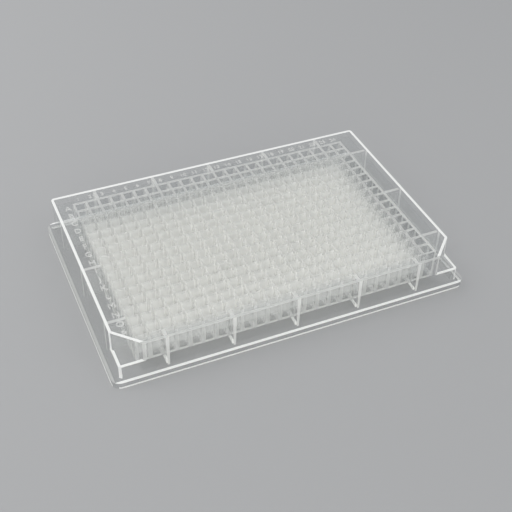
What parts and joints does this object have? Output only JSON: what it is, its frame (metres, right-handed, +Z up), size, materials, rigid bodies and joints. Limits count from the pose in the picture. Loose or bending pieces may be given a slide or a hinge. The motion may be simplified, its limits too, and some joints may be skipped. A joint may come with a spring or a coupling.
{
  "type": "well plate",
  "caption": "Moulded rectangular plate with a grid of small square wells, a raised rim, a hollow skirt on a wide base flange and two cut front corners.",
  "frame": {"origin": "centre of the footprint, on the surface that the plate stands on", "axes": "+X along the rows of wells from column 1 to the last column, +Y towards the back edge (row A), +Z up; the two cut corners are on the front edge, at -Y"},
  "size_m": [0.1278, 0.0854, 0.015],
  "materials": {
    "natural_polypropylene": "natural, milky translucent moulded polypropylene with a satin gloss"
  },
  "bodies": {
    "root": {"well_plate": "natural_polypropylene"}
  },
  "joints": []
}
